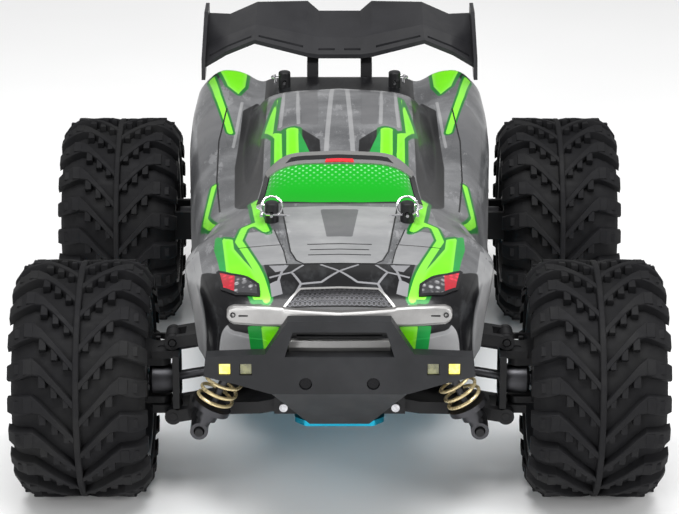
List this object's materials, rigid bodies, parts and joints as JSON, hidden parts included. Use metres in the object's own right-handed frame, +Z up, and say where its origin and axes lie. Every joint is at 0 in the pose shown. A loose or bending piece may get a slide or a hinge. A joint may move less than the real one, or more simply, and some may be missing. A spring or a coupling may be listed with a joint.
{
  "type": "remote-control monster truck",
  "caption": "Small-scale off-road truck with balloon tyres, independent sprung suspension, steering, shaft drive and a lift-off body shell with a rear wing.",
  "frame": {"origin": "centre of the bounding box in plan, on the ground under the tyres", "axes": "+Z up; the nose points to -Y; +X is the truck's own left side; the wheels' axles lie along X"},
  "size_m": [0.233, 0.3, 0.1213],
  "materials": {
    "tyre": "matt moulded rubber",
    "rim": "satin moulded plastic",
    "black_nylon": "fine-grained moulded nylon",
    "steel": "bright turned steel",
    "damper_body": "black anodised",
    "spring": "cream-gold coated wire",
    "chassis": "cyan anodised",
    "shell": "silver-grey film with lime green stripes, clear coat",
    "bumper": "fine-grained moulded plastic",
    "lens": "clear moulded lens",
    "wing": "satin moulded plastic",
    "clip": "polished wire",
    "motor": "zinc plated can",
    "battery": "shrink-wrap film",
    "electronics": "moulded case",
    "brass": "cut gear"
  },
  "bodies": {
    "chassis": {"chassis_plate": "chassis", "front_gearbox": "black_nylon", "rear_gearbox": "black_nylon", "front_shock_tower": "black_nylon", "rear_shock_tower": "black_nylon", "front_bumper": "bumper", "lamp_lenses": "lens", "motor": "motor", "steering_servo": "electronics", "battery_pack": "battery", "receiver_box": "electronics", "rear_wing": "wing", "hinge_pins_and_screws": "steel", "damper_springs": "spring"},
    "body_shell": {"body_shell": "shell", "body_posts": "black_nylon", "body_clips": "clip"},
    "centre_shaft": {"centre_drive_shaft": "steel"},
    "motor_pinion": {"motor_pinion": "brass"},
    "front_differential": {"front_differential": "steel"},
    "rear_differential": {"rear_differential": "steel"},
    "power_switch": {"power_switch": "black_nylon"},
    "servo_horn": {"servo_horn": "black_nylon"},
    "drag_link": {"drag_link": "black_nylon"},
    "left_tie_rod": {"left_tie_rod": "steel"},
    "right_tie_rod": {"right_tie_rod": "steel"},
    "front_left_lower_arm": {"front_left_lower_arm": "black_nylon"},
    "front_left_upper_arm": {"front_left_upper_arm": "black_nylon"},
    "front_left_hub_carrier": {"front_left_hub_carrier": "black_nylon"},
    "front_left_damper_body": {"front_left_damper_body": "damper_body"},
    "front_left_damper_rod": {"front_left_damper_rod": "steel"},
    "front_left_drive_shaft": {"front_left_drive_shaft": "steel"},
    "front_left_wheel": {"front_left_rim": "rim", "front_left_tyre": "tyre"},
    "front_left_knuckle": {"front_left_knuckle": "black_nylon"},
    "front_right_lower_arm": {"front_right_lower_arm": "black_nylon"},
    "front_right_upper_arm": {"front_right_upper_arm": "black_nylon"},
    "front_right_hub_carrier": {"front_right_hub_carrier": "black_nylon"},
    "front_right_damper_body": {"front_right_damper_body": "damper_body"},
    "front_right_damper_rod": {"front_right_damper_rod": "steel"},
    "front_right_drive_shaft": {"front_right_drive_shaft": "steel"},
    "front_right_wheel": {"front_right_rim": "rim", "front_right_tyre": "tyre"},
    "front_right_knuckle": {"front_right_knuckle": "black_nylon"},
    "rear_left_lower_arm": {"rear_left_lower_arm": "black_nylon"},
    "rear_left_upper_arm": {"rear_left_upper_arm": "black_nylon"},
    "rear_left_hub_carrier": {"rear_left_hub_carrier": "black_nylon"},
    "rear_left_damper_body": {"rear_left_damper_body": "damper_body"},
    "rear_left_damper_rod": {"rear_left_damper_rod": "steel"},
    "rear_left_drive_shaft": {"rear_left_drive_shaft": "steel"},
    "rear_left_wheel": {"rear_left_rim": "rim", "rear_left_tyre": "tyre"},
    "rear_right_lower_arm": {"rear_right_lower_arm": "black_nylon"},
    "rear_right_upper_arm": {"rear_right_upper_arm": "black_nylon"},
    "rear_right_hub_carrier": {"rear_right_hub_carrier": "black_nylon"},
    "rear_right_damper_body": {"rear_right_damper_body": "damper_body"},
    "rear_right_damper_rod": {"rear_right_damper_rod": "steel"},
    "rear_right_drive_shaft": {"rear_right_drive_shaft": "steel"},
    "rear_right_wheel": {"rear_right_rim": "rim", "rear_right_tyre": "tyre"}
  },
  "joints": [
    {"name": "front_left_suspension", "type": "hinge", "parent": "chassis", "child": "front_left_lower_arm", "pos_m": [0.02, -0.095, 0.038], "axis": [0, -1, 0], "range_deg": [0, 16], "stiffness_Nm_per_rad": 0.6, "springref_deg": -17.19, "deforming": ["damper_springs"]},
    {"name": "front_left_upper_link", "type": "hinge", "parent": "chassis", "child": "front_left_upper_arm", "pos_m": [0.02, -0.095, 0.065], "axis": [0, -1, 0], "range_deg": [0, 16.5]},
    {"name": "front_left_hub_pivot", "type": "hinge", "parent": "front_left_lower_arm", "child": "front_left_hub_carrier", "pos_m": [0.06, -0.095, 0.031], "axis": [0, -1, 0], "range_deg": [-16.5, 0.5]},
    {"name": "front_left_damper_swing", "type": "hinge", "parent": "chassis", "child": "front_left_damper_body", "pos_m": [0.026, -0.1135, 0.08], "axis": [0, -1, 0], "range_deg": [-0.5, 6]},
    {"name": "front_left_damper_stroke", "type": "slide", "parent": "front_left_damper_body", "child": "front_left_damper_rod", "axis": [-0.4399, 0, 0.8981], "range_m": [-0.0002, 0.0075]},
    {"name": "front_left_drive_shaft_spin", "type": "hinge", "parent": "front_left_lower_arm", "child": "front_left_drive_shaft", "pos_m": [0.024, -0.095, 0.05], "axis": [0.985, 0, -0.1724], "continuous": true},
    {"name": "front_left_wheel_spin", "type": "hinge", "parent": "front_left_knuckle", "child": "front_left_wheel", "pos_m": [0.064, -0.095, 0.043], "axis": [1, 0, 0], "continuous": true},
    {"name": "front_right_suspension", "type": "hinge", "parent": "chassis", "child": "front_right_lower_arm", "pos_m": [-0.02, -0.095, 0.038], "axis": [0, 1, 0], "range_deg": [0, 16], "stiffness_Nm_per_rad": 0.6, "springref_deg": -17.19, "deforming": ["damper_springs"]},
    {"name": "front_right_upper_link", "type": "hinge", "parent": "chassis", "child": "front_right_upper_arm", "pos_m": [-0.02, -0.095, 0.065], "axis": [0, 1, 0], "range_deg": [0, 16.5]},
    {"name": "front_right_hub_pivot", "type": "hinge", "parent": "front_right_lower_arm", "child": "front_right_hub_carrier", "pos_m": [-0.06, -0.095, 0.031], "axis": [0, 1, 0], "range_deg": [-16.5, 0.5]},
    {"name": "front_right_damper_swing", "type": "hinge", "parent": "chassis", "child": "front_right_damper_body", "pos_m": [-0.026, -0.1135, 0.08], "axis": [0, 1, 0], "range_deg": [-0.5, 6]},
    {"name": "front_right_damper_stroke", "type": "slide", "parent": "front_right_damper_body", "child": "front_right_damper_rod", "axis": [0.4399, 0, 0.8981], "range_m": [-0.0002, 0.0075]},
    {"name": "front_right_drive_shaft_spin", "type": "hinge", "parent": "front_right_lower_arm", "child": "front_right_drive_shaft", "pos_m": [-0.024, -0.095, 0.05], "axis": [0.985, 0, 0.1724], "continuous": true},
    {"name": "front_right_wheel_spin", "type": "hinge", "parent": "front_right_knuckle", "child": "front_right_wheel", "pos_m": [-0.064, -0.095, 0.043], "axis": [1, 0, 0], "continuous": true},
    {"name": "rear_left_suspension", "type": "hinge", "parent": "chassis", "child": "rear_left_lower_arm", "pos_m": [0.02, 0.083, 0.038], "axis": [0, -1, 0], "range_deg": [0, 16], "stiffness_Nm_per_rad": 0.6, "springref_deg": -17.19, "deforming": ["damper_springs"]},
    {"name": "rear_left_upper_link", "type": "hinge", "parent": "chassis", "child": "rear_left_upper_arm", "pos_m": [0.02, 0.083, 0.065], "axis": [0, -1, 0], "range_deg": [0, 16.5]},
    {"name": "rear_left_hub_pivot", "type": "hinge", "parent": "rear_left_lower_arm", "child": "rear_left_hub_carrier", "pos_m": [0.06, 0.083, 0.031], "axis": [0, -1, 0], "range_deg": [-16.5, 0.5]},
    {"name": "rear_left_damper_swing", "type": "hinge", "parent": "chassis", "child": "rear_left_damper_body", "pos_m": [0.026, 0.1015, 0.08], "axis": [0, -1, 0], "range_deg": [-0.5, 6]},
    {"name": "rear_left_damper_stroke", "type": "slide", "parent": "rear_left_damper_body", "child": "rear_left_damper_rod", "axis": [-0.4399, 0, 0.8981], "range_m": [-0.0002, 0.0075]},
    {"name": "rear_left_drive_shaft_spin", "type": "hinge", "parent": "rear_left_lower_arm", "child": "rear_left_drive_shaft", "pos_m": [0.024, 0.083, 0.05], "axis": [0.985, 0, -0.1724], "continuous": true},
    {"name": "rear_left_wheel_spin", "type": "hinge", "parent": "rear_left_hub_carrier", "child": "rear_left_wheel", "pos_m": [0.064, 0.083, 0.043], "axis": [1, 0, 0], "continuous": true},
    {"name": "rear_right_suspension", "type": "hinge", "parent": "chassis", "child": "rear_right_lower_arm", "pos_m": [-0.02, 0.083, 0.038], "axis": [0, 1, 0], "range_deg": [0, 16], "stiffness_Nm_per_rad": 0.6, "springref_deg": -17.19, "deforming": ["damper_springs"]},
    {"name": "rear_right_upper_link", "type": "hinge", "parent": "chassis", "child": "rear_right_upper_arm", "pos_m": [-0.02, 0.083, 0.065], "axis": [0, 1, 0], "range_deg": [0, 16.5]},
    {"name": "rear_right_hub_pivot", "type": "hinge", "parent": "rear_right_lower_arm", "child": "rear_right_hub_carrier", "pos_m": [-0.06, 0.083, 0.031], "axis": [0, 1, 0], "range_deg": [-16.5, 0.5]},
    {"name": "rear_right_damper_swing", "type": "hinge", "parent": "chassis", "child": "rear_right_damper_body", "pos_m": [-0.026, 0.1015, 0.08], "axis": [0, 1, 0], "range_deg": [-0.5, 6]},
    {"name": "rear_right_damper_stroke", "type": "slide", "parent": "rear_right_damper_body", "child": "rear_right_damper_rod", "axis": [0.4399, 0, 0.8981], "range_m": [-0.0002, 0.0075]},
    {"name": "rear_right_drive_shaft_spin", "type": "hinge", "parent": "rear_right_lower_arm", "child": "rear_right_drive_shaft", "pos_m": [-0.024, 0.083, 0.05], "axis": [0.985, 0, 0.1724], "continuous": true},
    {"name": "rear_right_wheel_spin", "type": "hinge", "parent": "rear_right_hub_carrier", "child": "rear_right_wheel", "pos_m": [-0.064, 0.083, 0.043], "axis": [1, 0, 0], "continuous": true},
    {"name": "front_left_steering", "type": "hinge", "parent": "front_left_hub_carrier", "child": "front_left_knuckle", "pos_m": [0.064, -0.095, 0.043], "axis": [0, 0, 1], "range_deg": [-25, 25]},
    {"name": "left_tie_rod_swing", "type": "hinge", "parent": "drag_link", "child": "left_tie_rod", "pos_m": [0.026, -0.078, 0.054], "axis": [0, -1, 0], "range_deg": [-0.5, 16.5]},
    {"name": "front_right_steering", "type": "hinge", "parent": "front_right_hub_carrier", "child": "front_right_knuckle", "pos_m": [-0.064, -0.095, 0.043], "axis": [0, 0, 1], "range_deg": [-25.5, 25.5]},
    {"name": "right_tie_rod_swing", "type": "hinge", "parent": "drag_link", "child": "right_tie_rod", "pos_m": [-0.026, -0.078, 0.054], "axis": [0, 1, 0], "range_deg": [-0.5, 16.5]},
    {"name": "drag_link_slide", "type": "slide", "parent": "chassis", "child": "drag_link", "axis": [1, 0, 0], "range_m": [-0.0076, 0.0076]},
    {"name": "servo_horn_turn", "type": "hinge", "parent": "chassis", "child": "servo_horn", "pos_m": [0.014, -0.0645, 0.056], "axis": [0, 0, 1], "range_deg": [-33, 33]},
    {"name": "front_differential_spin", "type": "hinge", "parent": "chassis", "child": "front_differential", "pos_m": [0, -0.095, 0.05], "axis": [1, 0, 0], "continuous": true},
    {"name": "rear_differential_spin", "type": "hinge", "parent": "chassis", "child": "rear_differential", "pos_m": [0, 0.083, 0.05], "axis": [1, 0, 0], "continuous": true},
    {"name": "centre_shaft_spin", "type": "hinge", "parent": "chassis", "child": "centre_shaft", "pos_m": [0, 0, 0.05], "axis": [0, 1, 0], "continuous": true},
    {"name": "motor_pinion_spin", "type": "hinge", "parent": "chassis", "child": "motor_pinion", "pos_m": [0.0168, 0, 0.05], "axis": [0, 1, 0], "continuous": true},
    {"name": "body_shell_lift", "type": "slide", "parent": "chassis", "child": "body_shell", "axis": [0, 0, 1], "range_m": [0, 0.06]},
    {"name": "power_switch_slide", "type": "slide", "parent": "chassis", "child": "power_switch", "axis": [0, 1, 0], "range_m": [0, 0.0055]}
  ],
  "couplings": [
    {"joint": "front_left_upper_link", "follows": "front_left_suspension", "ratio": 1},
    {"joint": "front_left_hub_pivot", "follows": "front_left_suspension", "ratio": -1},
    {"joint": "front_left_damper_swing", "follows": "front_left_suspension", "ratio": 0.339},
    {"joint": "front_left_damper_stroke", "follows": "front_left_suspension", "m_per_rad": 0.0252},
    {"joint": "front_left_drive_shaft_spin", "follows": "rear_left_wheel_spin", "ratio": 1},
    {"joint": "front_left_wheel_spin", "follows": "rear_left_wheel_spin", "ratio": 1},
    {"joint": "front_right_upper_link", "follows": "front_right_suspension", "ratio": 1},
    {"joint": "front_right_hub_pivot", "follows": "front_right_suspension", "ratio": -1},
    {"joint": "front_right_damper_swing", "follows": "front_right_suspension", "ratio": 0.339},
    {"joint": "front_right_damper_stroke", "follows": "front_right_suspension", "m_per_rad": 0.0252},
    {"joint": "front_right_drive_shaft_spin", "follows": "rear_left_wheel_spin", "ratio": 1},
    {"joint": "front_right_wheel_spin", "follows": "rear_left_wheel_spin", "ratio": 1},
    {"joint": "rear_left_upper_link", "follows": "rear_left_suspension", "ratio": 1},
    {"joint": "rear_left_hub_pivot", "follows": "rear_left_suspension", "ratio": -1},
    {"joint": "rear_left_damper_swing", "follows": "rear_left_suspension", "ratio": 0.339},
    {"joint": "rear_left_damper_stroke", "follows": "rear_left_suspension", "m_per_rad": 0.0252},
    {"joint": "rear_left_drive_shaft_spin", "follows": "rear_left_wheel_spin", "ratio": 1},
    {"joint": "rear_right_upper_link", "follows": "rear_right_suspension", "ratio": 1},
    {"joint": "rear_right_hub_pivot", "follows": "rear_right_suspension", "ratio": -1},
    {"joint": "rear_right_damper_swing", "follows": "rear_right_suspension", "ratio": 0.339},
    {"joint": "rear_right_damper_stroke", "follows": "rear_right_suspension", "m_per_rad": 0.0252},
    {"joint": "rear_right_drive_shaft_spin", "follows": "rear_left_wheel_spin", "ratio": 1},
    {"joint": "rear_right_wheel_spin", "follows": "rear_left_wheel_spin", "ratio": 1},
    {"joint": "left_tie_rod_swing", "follows": "front_left_suspension", "ratio": 1},
    {"joint": "front_right_steering", "follows": "front_left_steering", "ratio": 1},
    {"joint": "right_tie_rod_swing", "follows": "front_right_suspension", "ratio": 1},
    {"joint": "drag_link_slide", "follows": "front_left_steering", "m_per_rad": -0.01647},
    {"joint": "servo_horn_turn", "follows": "front_left_steering", "ratio": -1.27},
    {"joint": "front_differential_spin", "follows": "rear_left_wheel_spin", "ratio": 1},
    {"joint": "rear_differential_spin", "follows": "rear_left_wheel_spin", "ratio": 1},
    {"joint": "centre_shaft_spin", "follows": "rear_left_wheel_spin", "ratio": 2},
    {"joint": "motor_pinion_spin", "follows": "rear_left_wheel_spin", "ratio": -5}
  ]
}
